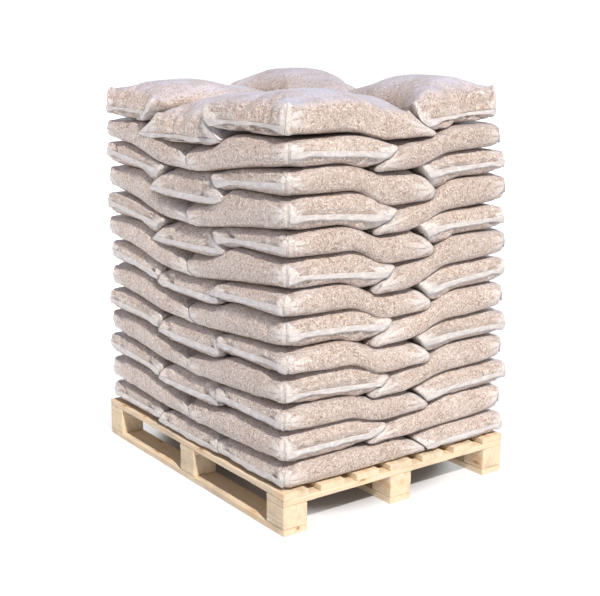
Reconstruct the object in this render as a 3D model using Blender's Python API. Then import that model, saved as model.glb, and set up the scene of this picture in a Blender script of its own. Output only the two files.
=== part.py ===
"""A four-way block pallet loaded with thirteen interlocked layers of film bags of wood pellets.

Metres, +Z up. The origin is on the floor under the middle of the pallet. X runs along the pallet's
long side. The front of the load is its -Y side and the right side is its +X side.
"""

import bpy
import numpy as np
from mathutils import Vector
from mathutils.geometry import delaunay_2d_cdt

PALLET_LENGTH = 1.200
PALLET_WIDTH = 1.000
BOARD_THICKNESS = 0.022
BLOCK_SIDE = 0.095
BLOCK_HEIGHT = 0.078
DECK_BOARD_WIDTH = 0.100
DECK_BOARD_COUNT = 7
SAWN_EDGE = 0.0015
SEAT_GAP = 0.0003

# Height of each layer's bearing face at the front right corner, from the deck upwards.
CORNER_LEVELS = (0.144, 0.230, 0.334, 0.422, 0.518, 0.607, 0.705, 0.798, 0.892, 0.981, 1.082, 1.172, 1.256)
LAYER_COUNT = 13
# How much one layer adds to the tilt of the faces above it.
TILT_ALONG_X = -0.0010
TILT_ALONG_Y = 0.0033
# Depth of the valley at the middle of the front and of the right side, in each bearing face.
FRONT_VALLEYS = (0.0, 0.014, 0.033, 0.030, 0.046, 0.035, 0.047, 0.058, 0.070, 0.065, 0.080, 0.070, 0.066)
SIDE_VALLEYS = (0.0, 0.008, 0.038, 0.042, 0.060, 0.054, 0.065, 0.070, 0.070, 0.062, 0.075, 0.050, 0.042)
# Place of each layer's left side in X and of its back in Y.
LEFT_SIDES = (-0.606, -0.624, -0.624, -0.612, -0.616, -0.606, -0.602, -0.612, -0.610, -0.616, -0.608, -0.616, -0.606)
BACK_SIDES = (0.530, 0.510, 0.524, 0.500, 0.510, 0.490, 0.500, 0.484, 0.474, 0.478, 0.471, 0.438, 0.420)

# A layer is three bags lengthwise and two bags crosswise, which meet this far from the middle.
BAG_WIDTH = 0.400
SPLIT = 0.100
CORNER_RADIUS = 0.048
BEARING_INSET = 0.040
STATION_STEP = 0.046

# The notch between two bags: reach to each side, what a sealed end takes off it, and how far it leans.
NOTCH_REACH = 0.045
NOTCH_STEPS = (-0.042, -0.017, 0.0, 0.017, 0.042)
SEALED_FILL = 0.8
LEAN_REACH = 0.150
LEAN_LIMIT = 0.25
TOP_LEAN_LIMIT = 0.45
END_LEANS = (0.030, 0.100, 0.140)
FIRST_STEEP_LAYER = 8
PAIR_LEAN = -0.120
SIDE_LEAN = 0.110
TOP_SIDE_LEAN = 0.160

# Rings up a bag's side: share of the height, then the inset of a sealed end, of a long side and of a notch.
RINGS = ((0.05, 0.019, 0.016, 0.022), (0.13, 0.009, 0.007, 0.004), (0.26, 0.001, 0.002, 0.0),
         (0.50, 0.004, 0.001, 0.0), (0.80, 0.011, 0.004, 0.045), (0.93, 0.020, 0.014, 0.052))
TOP_RINGS = ((0.14, 0.048, 0.044, 0.030), (0.29, 0.021, 0.010, 0.006), (0.48, 0.016, 0.003, 0.0),
             (0.72, 0.018, 0.003, 0.0), (0.95, 0.021, 0.004, 0.010))
# Insets grow by this share towards a corner, over this distance.
CORNER_PINCH = 0.7
PINCH_REACH = 0.060

# Crown of each bag of the top layer above its rim: front left, middle and right, back left and right.
TOP_LAYER_RISE = 0.072
TOP_RIM = 0.068
TOP_CROWNS = (0.074, 0.072, 0.070, 0.098, 0.090)
BACK_SPLIT = -0.025
CROWN_STEPS = (-0.96, -0.86, -0.68, -0.35, 0.0, 0.35, 0.68, 0.86, 0.96)
CROWN_POWER = 3.3
SHOULDER_POWER = 0.6
# Between the long sides of two bags the crown falls by this share only. Behind a sealed end it dips.
JOINT_FALL = 0.58
JOINT_POWER = 2.2
DIP = 0.050
DIP_REACH = 0.013
CROWN_MARGIN = 0.006


def clear_scene():
    for item in list(bpy.data.objects):
        bpy.data.objects.remove(item, do_unlink=True)


def finish(name, colour, roughness):
    """A material of one colour with no metal in it."""
    material = bpy.data.materials.new(name)
    material.use_nodes = True
    shader = material.node_tree.nodes["Principled BSDF"]
    shader.inputs["Base Color"].default_value = (*colour, 1.0)
    shader.inputs["Roughness"].default_value = roughness
    shader.inputs["Metallic"].default_value = 0.0
    return material


def place(name, points, faces, material, parent):
    """Make one closed mesh object from points and faces."""
    mesh = bpy.data.meshes.new(name)
    mesh.from_pydata([tuple(map(float, point)) for point in points], [], faces)
    mesh.materials.append(material)
    mesh.validate()
    item = bpy.data.objects.new(name, mesh)
    bpy.context.collection.objects.link(item)
    item.parent = parent
    return item


def sawn_piece(name, centre, size, material, parent):
    """A sawn board or block: a box on its own centre, with its edges just broken."""
    half = np.array(size) / 2
    corners = [half * (sx, sy, sz) for sz in (-1, 1) for sx, sy in ((-1, -1), (1, -1), (1, 1), (-1, 1))]
    faces = [(3, 2, 1, 0), (4, 5, 6, 7), (0, 1, 5, 4), (1, 2, 6, 5), (2, 3, 7, 6), (3, 0, 4, 7)]
    item = place(name, corners, faces, material, parent)
    item.location = centre
    bevel = item.modifiers.new("broken edges", "BEVEL")
    bevel.width = SAWN_EDGE
    bevel.segments = 1
    return item


def build_pallet(material, parent):
    """Bottom boards, blocks, stringers and deck boards, each a seat gap above what carries it."""
    row_y = (PALLET_WIDTH - BLOCK_SIDE) / 2
    row_x = (PALLET_LENGTH - BLOCK_SIDE) / 2
    block_base = BOARD_THICKNESS + SEAT_GAP
    block_top = BOARD_THICKNESS + BLOCK_HEIGHT
    stringer_base = block_top + SEAT_GAP
    stringer_top = block_top + BOARD_THICKNESS
    deck_base = stringer_top + SEAT_GAP
    deck_top = stringer_top + BOARD_THICKNESS
    rows = (("front", -row_y), ("middle", 0.0), ("back", row_y))
    columns = (("left", -row_x), ("centre", 0.0), ("right", row_x))
    for row, y in rows:
        sawn_piece("bottom_board_" + row, (0, y, BOARD_THICKNESS / 2),
                   (PALLET_LENGTH, BLOCK_SIDE, BOARD_THICKNESS), material, parent)
        for column, x in columns:
            sawn_piece("block_" + row + "_" + column, (x, y, (block_base + block_top) / 2),
                       (BLOCK_SIDE, BLOCK_SIDE, block_top - block_base), material, parent)
    for column, x in columns:
        sawn_piece("stringer_" + column, (x, 0, (stringer_base + stringer_top) / 2),
                   (BLOCK_SIDE, PALLET_WIDTH, stringer_top - stringer_base), material, parent)
    spacing = (PALLET_WIDTH - DECK_BOARD_WIDTH) / (DECK_BOARD_COUNT - 1)
    for index in range(DECK_BOARD_COUNT):
        y = -PALLET_WIDTH / 2 + DECK_BOARD_WIDTH / 2 + index * spacing
        sawn_piece(f"deck_board_{index + 1}", (0, y, (deck_base + deck_top) / 2),
                   (PALLET_LENGTH, DECK_BOARD_WIDTH, deck_top - deck_base), material, parent)


def bearing_height(level, x, y):
    """Face between two layers: a plane that rises from the front right corner, less a valley at each side.

    A valley is a flat-bottomed bell along its side, where the joints between bags let the load settle, and
    it is shallower at the middle of the load.
    """
    plane = CORNER_LEVELS[level] + TILT_ALONG_X * level * (x - PALLET_LENGTH / 2)
    plane = plane + TILT_ALONG_Y * level * (y + PALLET_WIDTH / 2)
    if level % 2 == 0:
        along_front = np.exp(-(np.abs(x + 0.02) / 0.240) ** 5)
        along_side = np.exp(-(np.abs(y + 0.005) / 0.160) ** 4)
    else:
        on_left = x < -0.04
        along_front = np.exp(-(np.abs(x + 0.04) / np.where(on_left, 0.29, 0.36)) ** np.where(on_left, 3.0, 2.0))
        along_side = np.exp(-(np.abs(y + 0.035) / 0.155) ** 3)
    front = FRONT_VALLEYS[level] * along_front * np.clip(0.4 + 2.4 * y ** 2, 0, 1)
    side = SIDE_VALLEYS[level] * along_side * np.clip(0.4 + 1.7 * x ** 2, 0, 1)
    return plane - front - side


def corners(layer):
    """The four corners of a layer's outline, counter-clockwise from the front left."""
    left, back = LEFT_SIDES[layer], BACK_SIDES[layer]
    right, front = PALLET_LENGTH / 2, -PALLET_WIDTH / 2
    return np.array(((left, front), (right, front), (right, back), (left, back)))


def sides(layer):
    """For each side, counter-clockwise from the front: joints as (x, y, lean), and where it shows sealed ends.

    The lean is how far the joint's line moves along +X or +Y from the bottom of the layer to its top.
    """
    left, back = LEFT_SIDES[layer], BACK_SIDES[layer]
    right, front = PALLET_LENGTH / 2, -PALLET_WIDTH / 2
    half = BAG_WIDTH / 2
    end_lean = END_LEANS[int(layer >= FIRST_STEEP_LAYER) + int(layer == LAYER_COUNT - 1)]
    if layer % 2 == 0:
        side_lean = -TOP_SIDE_LEAN if layer == LAYER_COUNT - 1 else -SIDE_LEAN
        return [([(-half, front, end_lean), (half, front, -end_lean)], (-9.0, 9.0)),
                ([(right, SPLIT, side_lean)], (SPLIT, 9.0)),
                ([(0.0, back, PAIR_LEAN)], (9.0, 9.0)),
                ([(left, SPLIT, side_lean)], (SPLIT, 9.0))]
    return [([(0.0, front, PAIR_LEAN)], (9.0, 9.0)),
            ([(right, -SPLIT, SIDE_LEAN)], (-9.0, -SPLIT)),
            ([(half, back, -end_lean), (-half, back, end_lean)], (-9.0, 9.0)),
            ([(left, -SPLIT, SIDE_LEAN)], (-9.0, -SPLIT))]


def along_side(start, end, steps):
    """Points at the given distances along a side, its direction, and the direction into the load."""
    direction = (end - start) / np.linalg.norm(end - start)
    inward = np.array((-direction[1], direction[0]))
    return start + np.outer(steps, direction), direction, inward


def loop(corner_points, steps_of_side):
    """Stations round an outline with rounded corners: place, inward direction and running number."""
    places, inwards, numbers = [], [], []
    for side in range(4):
        start, end = corner_points[side], corner_points[(side + 1) % 4]
        points, direction, inward = along_side(start, end, steps_of_side[side])
        centre = start + CORNER_RADIUS * (direction + inward)
        for degrees in (30, 60):
            angle = np.radians(degrees)
            outward = -direction * np.cos(angle) - inward * np.sin(angle)
            places.append(centre + CORNER_RADIUS * outward)
            inwards.append(-outward)
            numbers.append(side + 0.0005 * degrees - 0.04)
        length = np.linalg.norm(end - start)
        places.extend(points)
        inwards.extend([inward] * len(points))
        numbers.extend(side + steps_of_side[side] / length)
    return np.array(places), np.array(inwards), np.array(numbers)


def bag_stations(layer):
    """Stations round a layer, with the notch, the lean along the side, the sealed share and the pinch of each."""
    corner_points = corners(layer)
    steps, notches, leans, sealed, pinches = [], [], [], [], []
    for side, (joints, (first, last)) in enumerate(sides(layer)):
        start, end = corner_points[side], corner_points[(side + 1) % 4]
        length = np.linalg.norm(end - start)
        way = (end - start) / length
        joint_at = np.array([(np.array(joint[:2]) - start) @ way for joint in joints])
        even = np.linspace(CORNER_RADIUS, length - CORNER_RADIUS, round(length / STATION_STEP))
        clear = np.abs(even[:, None] - joint_at).min(axis=1) > 1.4 * NOTCH_STEPS[-1]
        beside = [joint + step for joint in joint_at for step in NOTCH_STEPS]
        at = np.sort(np.concatenate((even[clear], beside)))
        distance = np.abs(at - joint_at[:, None])
        along = np.array([joint[2] for joint in joints]) * way.sum()
        lean = along @ np.clip(1 - distance / LEAN_REACH, 0, 1)
        place = (start + np.outer(at, way))[:, int(abs(way[1]) > 0.5)]
        show = ((place > first) & (place < last)).astype(float)
        notch = (1 - SEALED_FILL * show) * np.exp(-distance.min(axis=0) / NOTCH_REACH)
        to_corner = np.minimum(at, length - at) - CORNER_RADIUS
        pinch = 1 + CORNER_PINCH * np.clip(1 - to_corner / PINCH_REACH, 0, 1)
        steps.append(at)
        notches.append(np.concatenate(((0.0, 0.0), notch)))
        leans.append(np.concatenate(((0.0, 0.0), lean)))
        sealed.append(np.concatenate((show[:1], show[:1], show)))
        pinches.append(np.concatenate((pinch[:1], pinch[:1], pinch)))
    places, inwards, numbers = loop(corner_points, steps)
    return places, inwards, numbers, *map(np.concatenate, (notches, leans, sealed, pinches))


def bearing_loop(level):
    """The rim of the face where two layers bear on each other, well inside their sides."""
    inset = BEARING_INSET * np.array(((1, 1), (-1, 1), (-1, -1), (1, -1)))
    corner_points = corners(level) + inset
    steps = []
    for side in range(4):
        length = np.linalg.norm(corner_points[(side + 1) % 4] - corner_points[side])
        steps.append(np.linspace(CORNER_RADIUS, length - CORNER_RADIUS, 15))
    places, _, numbers = loop(corner_points, steps)
    return places, numbers


def bearing_inner():
    """Points inside a bearing face, on an even grid."""
    x, y = np.meshgrid(np.linspace(-0.45, 0.45, 7), np.linspace(-0.34, 0.26, 6))
    return np.column_stack((x.ravel(), y.ravel()))


def cap(rim, inner):
    """Triangles that fill a rim and pass through the inner points; indices count the rim first."""
    points = [Vector(map(float, point)) for point in np.vstack((rim, inner))]
    count = len(rim)
    edges = [(index, (index + 1) % count) for index in range(count)]
    _, _, faces, sources, _, _ = delaunay_2d_cdt(points, edges, [], 1, 1e-6)
    return [tuple(sources[corner][0] for corner in face) for face in faces]


def strip(lower, lower_numbers, upper, upper_numbers):
    """Triangles between two closed rings of different counts, stepping on whichever ring is behind."""
    faces = []
    below, above = 0, 0
    while below < len(lower) or above < len(upper):
        here, there = lower[below % len(lower)], upper[above % len(upper)]
        next_below = lower_numbers[below + 1] if below + 1 < len(lower) else 4 + lower_numbers[0]
        next_above = upper_numbers[above + 1] if above + 1 < len(upper) else 4 + upper_numbers[0]
        if above == len(upper) or (below < len(lower) and next_below <= next_above):
            faces.append((here, lower[(below + 1) % len(lower)], there))
            below += 1
        else:
            faces.append((here, upper[(above + 1) % len(upper)], there))
            above += 1
    return faces


def side_rings(layer):
    """Rings round a layer from low to high, between the bearing faces below and above it."""
    places, inwards, numbers, notch, lean, sealed, pinch = bag_stations(layer)
    directions = np.column_stack((inwards[:, 1], -inwards[:, 0]))
    top = layer == LAYER_COUNT - 1
    rings = []
    for share, end_inset, long_inset, notch_depth in TOP_RINGS if top else RINGS:
        inset = (sealed * end_inset + (1 - sealed) * long_inset) * pinch + notch * notch_depth
        shift = lean * min(share - 0.5, TOP_LEAN_LIMIT if top else LEAN_LIMIT)
        spot = places + inwards * inset[:, None] + directions * shift[:, None]
        floor = bearing_height(layer, spot[:, 0], spot[:, 1])
        rise = TOP_LAYER_RISE if top else bearing_height(layer + 1, spot[:, 0], spot[:, 1]) - floor
        rings.append(np.column_stack((spot, floor + share * rise)))
    return rings, numbers


def top_bags():
    """Plan box and crown of each bag of the top layer: low x, high x, low y, high y, crown."""
    low, right, back, left = corners(LAYER_COUNT - 1)
    edges = (left[0], -BAG_WIDTH / 2, BAG_WIDTH / 2, right[0])
    boxes = [(edges[index], edges[index + 1], low[1], SPLIT) for index in range(3)]
    boxes += [(left[0], BACK_SPLIT, SPLIT, back[1]), (BACK_SPLIT, right[0], SPLIT, back[1])]
    return [(*box, crown) for box, crown in zip(boxes, TOP_CROWNS)]


def bell(distance, reach):
    return np.exp(-(distance / reach) ** 2)


def overlap(x, y):
    """How far the bags of the top layer lie over their neighbours near the sides, along X and along Y."""
    half = BAG_WIDTH / 2
    over_middle = END_LEANS[2] / 2 * (bell(x + half, 0.10) - bell(x - half, 0.10))
    over_middle = over_middle * bell(y + PALLET_WIDTH / 2, 0.15)
    over_front = -TOP_SIDE_LEAN / 2 * bell(y - SPLIT, 0.12) * bell(np.abs(x) - PALLET_LENGTH / 2, 0.15)
    return over_middle, over_front


def crown_height(x, y):
    """Top of the load: each bag is a pillow that falls from its crown to its rim as two rounded bumps do."""
    height = bearing_height(LAYER_COUNT - 1, x, y) + TOP_RIM
    over_x, over_y = overlap(x, y)
    x, y = x - over_x, y - over_y
    rise = np.zeros_like(height)
    for low_x, high_x, low_y, high_y, crown in top_bags():
        u = (2 * x - low_x - high_x) / (high_x - low_x)
        v = (2 * y - low_y - high_y) / (high_y - low_y)
        edge = np.where(2 * x > low_x + high_x, high_x, low_x)
        long_joint = (high_y == SPLIT) & (np.abs(np.abs(edge) - BAG_WIDTH / 2) < 0.001)
        inside = (np.abs(u) <= 1) & (np.abs(v) <= 1)
        u, v = np.clip(np.abs(u), 0, 1), np.clip(np.abs(v), 0, 1)
        shoulder = (1 - u ** CROWN_POWER) ** SHOULDER_POWER
        across = np.where(long_joint, 1 - JOINT_FALL * u ** JOINT_POWER, shoulder)
        rise = np.maximum(rise, inside * crown * across * (1 - v ** CROWN_POWER) ** SHOULDER_POWER)
    dip = np.where(y > SPLIT, bell(x - BACK_SPLIT, DIP_REACH), 0)
    return height + rise - DIP * np.maximum(dip, bell(y - SPLIT, DIP_REACH))


def inside_by(margin, points, rim):
    """Which points lie inside a closed rim and at least the margin from it."""
    start, end = rim, np.roll(rim, -1, axis=0)
    along = end - start
    offset = points[:, None] - start[None]
    share = np.clip((offset * along).sum(axis=2) / (along ** 2).sum(axis=1), 0, 1)
    distance = np.linalg.norm(offset - share[..., None] * along, axis=2).min(axis=1)
    crosses = (start[:, 1] > points[:, None, 1]) != (end[:, 1] > points[:, None, 1])
    run = (points[:, None, 1] - start[:, 1]) / np.where(along[:, 1], along[:, 1], 1)
    at_x = start[:, 0] + run * along[:, 0]
    inside = (crosses & (points[:, None, 0] < at_x)).sum(axis=1) % 2 == 1
    return inside & (distance > margin)


def crown_inner(rim):
    """Points over the top of the load, close together beside the grooves between its bags."""
    steps = np.array(CROWN_STEPS)
    found, split_x = [], [-BAG_WIDTH / 2, 0.0, BAG_WIDTH / 2]
    for low_x, high_x, low_y, high_y, _ in top_bags():
        x = (low_x + high_x) / 2 + steps * (high_x - low_x) / 2
        y = (low_y + high_y) / 2 + steps * (high_y - low_y) / 2
        grid_x, grid_y = np.meshgrid(np.append(x, high_x), y)
        found.append(np.column_stack((grid_x.ravel(), grid_y.ravel())))
        split_x.extend(x)
    found.append(np.column_stack((split_x, np.full(len(split_x), SPLIT))))
    points = np.unique(np.round(np.vstack(found), 6), axis=0)
    points = points + np.column_stack(overlap(points[:, 0], points[:, 1]))
    return points[inside_by(CROWN_MARGIN, points, rim)]


def build_layer(layer, material, parent):
    """One layer of five bags as one solid: bearing faces below and above, and grooved sides between."""
    rings, numbers = side_rings(layer)
    low_rim, low_numbers = bearing_loop(layer)
    inner = bearing_inner()
    low_points = np.vstack((low_rim, inner))
    low_height = bearing_height(layer, low_points[:, 0], low_points[:, 1]) + SEAT_GAP / 2
    if layer == 0:
        low_height = np.full(len(low_points), CORNER_LEVELS[0] + SEAT_GAP)
    points = [np.column_stack((low_points, low_height))]
    faces = [face[::-1] for face in cap(low_rim, inner)]
    first = len(low_points)
    around = len(numbers)
    ring_indices = [np.arange(around) + first + around * index for index in range(len(rings))]
    points.extend(rings)
    faces += strip(np.arange(len(low_rim)), low_numbers, ring_indices[0], numbers)
    for below, above in zip(ring_indices, ring_indices[1:]):
        for index in range(around):
            following = (index + 1) % around
            faces.append((below[index], below[following], above[following], above[index]))
    offset = first + around * len(rings)
    if layer == LAYER_COUNT - 1:
        rim = rings[-1][:, :2]
        inner = crown_inner(rim)
        points.append(np.column_stack((inner, crown_height(inner[:, 0], inner[:, 1]))))
        lookup = np.concatenate((ring_indices[-1], np.arange(len(inner)) + offset))
        faces += [tuple(lookup[list(face)]) for face in cap(rim, inner)]
    else:
        high_rim, high_numbers = bearing_loop(layer + 1)
        high_points = np.vstack((high_rim, inner))
        high_height = bearing_height(layer + 1, high_points[:, 0], high_points[:, 1]) - SEAT_GAP / 2
        points.append(np.column_stack((high_points, high_height)))
        high_indices = np.arange(len(high_rim)) + offset
        faces += strip(ring_indices[-1], numbers, high_indices, high_numbers)
        faces += [tuple(corner + offset for corner in face) for face in cap(high_rim, inner)]
    faces = [tuple(int(corner) for corner in face) for face in faces]
    place(f"sack_layer_{layer + 1:02d}", np.vstack(points), faces, material, parent)


def build_load(material, parent):
    for layer in range(LAYER_COUNT):
        build_layer(layer, material, parent)


clear_scene()
whole = bpy.data.objects.new("loaded_pallet", None)
bpy.context.collection.objects.link(whole)
softwood = finish("pale softwood", (0.76, 0.58, 0.36), 0.75)
film_bag = finish("clear film bag of wood pellets", (0.55, 0.43, 0.34), 0.45)
build_pallet(softwood, whole)
build_load(film_bag, whole)
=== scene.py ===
"""A wooden block pallet loaded with interlocked layers of clear film bags of wood pellets."""

import bmesh
import bpy
import numpy as np
from mathutils import Matrix, Vector


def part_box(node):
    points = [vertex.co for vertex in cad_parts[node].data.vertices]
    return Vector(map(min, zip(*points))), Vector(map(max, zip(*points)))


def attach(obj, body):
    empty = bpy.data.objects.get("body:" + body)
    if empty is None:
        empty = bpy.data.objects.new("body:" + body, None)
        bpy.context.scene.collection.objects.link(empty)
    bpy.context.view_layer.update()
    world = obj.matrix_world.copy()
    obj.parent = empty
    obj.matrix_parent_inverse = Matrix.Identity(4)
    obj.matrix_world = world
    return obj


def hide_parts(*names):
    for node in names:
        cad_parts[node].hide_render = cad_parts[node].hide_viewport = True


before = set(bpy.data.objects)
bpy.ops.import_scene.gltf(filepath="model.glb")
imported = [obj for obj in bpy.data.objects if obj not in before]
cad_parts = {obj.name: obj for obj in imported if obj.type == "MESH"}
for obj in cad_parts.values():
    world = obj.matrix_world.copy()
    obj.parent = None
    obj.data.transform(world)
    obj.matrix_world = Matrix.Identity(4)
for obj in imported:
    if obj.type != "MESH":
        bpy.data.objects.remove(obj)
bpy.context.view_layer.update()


# Bottom boards.
# Three long boards of sawn softwood, one under each row of blocks. They are resawn from a log, so
# each shows its own piece of the growth rings, and they are nailed up into the blocks from below.

class Wire:
    """An output of a material's node. Arithmetic on wires adds Math nodes, and node() adds any other kind."""

    def __init__(self, tree, socket=None):
        self.tree = tree
        self.socket = socket

    def node(self, kind, settings=None, sockets=None, output=0):
        """Add a node: its settings first, a ramp's stops among them, then its sockets' values or links."""
        made = self.tree.nodes.new(kind)
        for name, value in (settings or {}).items():
            if name == "stops":
                ramp = made.color_ramp
                while len(ramp.elements) < len(value):
                    ramp.elements.new(0.5)
                for element, (place, colour) in zip(ramp.elements, value):
                    element.position = place
                    element.color = (*colour, 1.0)
            else:
                setattr(made, name, value)
        for name, value in (sockets or {}).items():
            if isinstance(value, Wire):
                self.tree.links.new(value.socket, made.inputs[name])
            else:
                made.inputs[name].default_value = value
        return Wire(self.tree, made.outputs[output])

    def sum(self, operation, first, second=0.0):
        """One Math node on two wires or values."""
        return self.node("ShaderNodeMath", {"operation": operation}, {0: first, 1: second})

    def __add__(self, other):
        return self.sum("ADD", self, other)

    def __sub__(self, other):
        return self.sum("SUBTRACT", self, other)

    def __rsub__(self, other):
        return self.sum("SUBTRACT", other, self)

    def __mul__(self, other):
        return self.sum("MULTIPLY", self, other)

    def __truediv__(self, other):
        return self.sum("DIVIDE", self, other)

    def __pow__(self, other):
        return self.sum("POWER", self, other)

    __radd__ = __add__
    __rmul__ = __mul__

    def between(self, low, high):
        """0 where this is under low, 1 where it is over high, and an S-curve from one to the other."""
        settings = {"interpolation_type": "SMOOTHSTEP"}
        return self.node("ShaderNodeMapRange", settings, {"Value": self, "From Min": low, "From Max": high})

    def turned(self, angle=0.0, stretch=(1.0, 1.0, 1.0)):
        """These coordinates, turned about Z, then stretched."""
        sockets = {"Vector": self, "Rotation": (0.0, 0.0, angle)}
        about = self.node("ShaderNodeMapping", {"vector_type": "POINT"}, sockets)
        return about.node("ShaderNodeVectorMath", {"operation": "MULTIPLY"}, {0: about, 1: stretch})

    def noise(self, stretch, detail, angle=0.0, settings=None, **more):
        """Noise on these coordinates, which are turned and stretched first."""
        sockets = {"Vector": self.turned(angle, stretch), "Scale": 1.0, "Detail": detail, **more}
        return self.node("ShaderNodeTexNoise", settings, sockets)

    def apart(self):
        """The three parts of a vector, each as a wire of its own."""
        first = self.node("ShaderNodeSeparateXYZ", {}, {0: self})
        return [Wire(self.tree, socket) for socket in first.socket.node.outputs]

    def into(self, shader, name):
        """Feed one socket of a shader."""
        self.tree.links.new(self.socket, shader.inputs[name])

    def blend(self, under, over):
        """The colour under, mixed with the colour over as far as this wire says."""
        under, over = (each if isinstance(each, Wire) else (*each, 1.0) for each in (under, over))
        return self.node("ShaderNodeMix", {"data_type": "RGBA"}, {0: self, 6: under, 7: over}, 2)


def new_material(name):
    """A material with nodes: its shader and a first wire to build from."""
    material = bpy.data.materials.new(name)
    material.use_nodes = True
    return material, material.node_tree.nodes["Principled BSDF"], Wire(material.node_tree)


RINGS_PER_METRE = 260.0


def softwood():
    """Sawn pine: rings of early and late wood round the log's heart, fibres along it, knots and dirt.

    The mesh attribute "log" holds each point's place in its log: along the grain, then two across it.
    """
    material, shader, wire = new_material("sawn softwood")
    place = wire.node("ShaderNodeAttribute", {"attribute_name": "log"}, output=1)
    drift = place.noise((1.2, 9.0, 9.0), 2.0)
    _, across, through = place.apart()
    radius = (across * across + through * through) ** 0.5 + drift * 0.020
    ring = radius * RINGS_PER_METRE
    late = ring.sum("FRACT", ring).between(0.35, 0.95)
    fibre = place.noise((14.0, 900.0, 900.0), 3.0)
    streak = place.noise((3.0, 70.0, 70.0), 3.0)
    knot_place = place.turned(stretch=(6.5, 17.0, 17.0))
    knot = place.node("ShaderNodeTexVoronoi", {}, {"Vector": knot_place, "Scale": 1.0, "Randomness": 1.0})
    knot_core = 1.0 - knot.between(0.06, 0.13)
    knot_halo = 1.0 - knot.between(0.10, 0.34)
    colour = late.blend((0.73, 0.60, 0.42), (0.58, 0.43, 0.27))
    colour = (streak.between(0.35, 0.75) * 0.45).blend(colour, (0.79, 0.69, 0.54))
    colour = (fibre.between(0.45, 0.75) * 0.35).blend(colour, (0.60, 0.43, 0.26))
    colour = (knot_halo * 0.55).blend(colour, (0.60, 0.37, 0.18))
    colour = (knot_core * 0.85).blend(colour, (0.30, 0.16, 0.08))
    grime = place.noise((6.0, 14.0, 14.0), 5.0, Roughness=0.65)
    colour = (grime.between(0.50, 0.68) * 0.60).blend(colour, (0.46, 0.38, 0.28))
    colour.into(shader, "Base Color")
    rough = 0.62 + fibre * 0.25
    rough.into(shader, "Roughness")
    saw = place.noise((420.0, 12.0, 12.0), 1.0)
    relief = fibre * 0.5 + late * 0.25 + saw * 0.4 - knot_core * 0.3
    bump = relief.node("ShaderNodeBump", {}, {"Height": relief, "Distance": 0.0009, "Strength": 0.7})
    bump.into(shader, "Normal")
    return material


def solid_mesh(name, points, faces, smooth=True):
    """A mesh object at the origin from arrays of points and faces, which may be of three or four corners."""
    mesh = bpy.data.meshes.new(name)
    mesh.from_pydata(points.tolist(), [], [face for group in faces for face in group.tolist()])
    mesh.polygons.foreach_set("use_smooth", np.full(len(mesh.polygons), smooth))
    piece = bpy.data.objects.new(name, mesh)
    bpy.context.collection.objects.link(piece)
    return piece


def grid_faces(index, flip=False):
    """Four-cornered faces between the rows and columns of an array of point numbers."""
    faces = np.stack((index[:-1, :-1], index[1:, :-1], index[1:, 1:], index[:-1, 1:]), -1).reshape(-1, 4)
    return faces[:, ::-1] if flip else faces


def sawn_section(half_width, half_height, radius):
    """A rectangle with rounded corners, counter-clockwise.

    A quarter circle stands at each corner, and a few more points lie on the straight side after it.
    """
    corners = np.array(((1, 1), (-1, 1), (-1, -1), (1, -1)))
    centres = corners * (np.array((half_width, half_height)) - radius)
    points = []
    for turn, centre in enumerate(centres):
        angles = np.pi / 2 * (turn + np.linspace(0, 1, 4))
        arc = centre + radius * np.column_stack((np.cos(angles), np.sin(angles)))
        side = np.linspace(0, 1, 6)[1:-1, None] * (centres[(turn + 1) % 4] - centre)
        points += [arc, arc[-1] + side]
    return np.vstack(points)


SAWN_END = 0.0015
WAVERS = ((3, 0.00045), (7, 0.0003), (15, 0.0002))


def sawn_board(name, node, along, seed, radius=0.0025, stations=29):
    """A rounded rectangle carried along the grain, with flat ends closed to a pole.

    Its size wavers by a sum of sines, always inwards. The attribute "log" holds each point's place in the
    log that the piece was sawn from.
    """
    rng = np.random.default_rng(seed)
    low, high = (np.array(corner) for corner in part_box(node))
    centre, size = (low + high) / 2, high - low
    other = 1 - along
    length = size[along]
    section = sawn_section(size[other] / 2, size[2] / 2, radius)
    end = np.full(3, 0.5)
    t = np.concatenate((-end, np.linspace(-0.5, 0.5, stations), end)) * length
    t[3] += SAWN_END
    t[-4] -= SAWN_END
    shrink = np.ones(len(t))
    shrink[:3] = shrink[:-4:-1] = (0.0, 0.5, 0.985)
    around = np.linspace(0, 2 * np.pi, len(section), endpoint=False)
    wander = np.zeros((len(t), len(section)))
    for waves, size_of_wave in WAVERS:
        phase, turn = rng.uniform(0, 2 * np.pi), rng.integers(1, 4)
        wander += size_of_wave * np.sin(waves * t[:, None] / length * 2 * np.pi + turn * around + phase)
    reach = np.linalg.norm(section, axis=1)
    spread = section[None] * (shrink[:, None] * (1 - (np.abs(wander) + wander) / reach))[..., None]
    points = np.zeros((len(t), len(section), 3))
    points[..., along] = t[:, None]
    points[..., other] = spread[..., 0] if along == 1 else -spread[..., 0]
    points[..., 2] = spread[..., 1]
    heart = (rng.uniform(-2, 2), rng.uniform(0.02, 0.09) * rng.choice((-1, 1)), rng.uniform(0.01, 0.07))
    log = points[..., (along, other, 2)] + heart
    count = len(section)
    index = np.arange(len(t) * count).reshape(len(t), count)
    index = np.column_stack((index, index[:, 0]))
    piece = solid_mesh(name, (points + centre).reshape(-1, 3), [grid_faces(index, flip=along == 1)])
    attribute = piece.data.attributes.new("log", "FLOAT_VECTOR", "POINT")
    attribute.data.foreach_set("vector", log.reshape(-1, 3).astype(np.float32).ravel())
    close_up(piece)
    piece.data.set_sharp_from_angle(angle=np.radians(50))
    piece.data.materials.append(pine)
    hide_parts(node)
    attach(piece, "root")
    return piece


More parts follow.
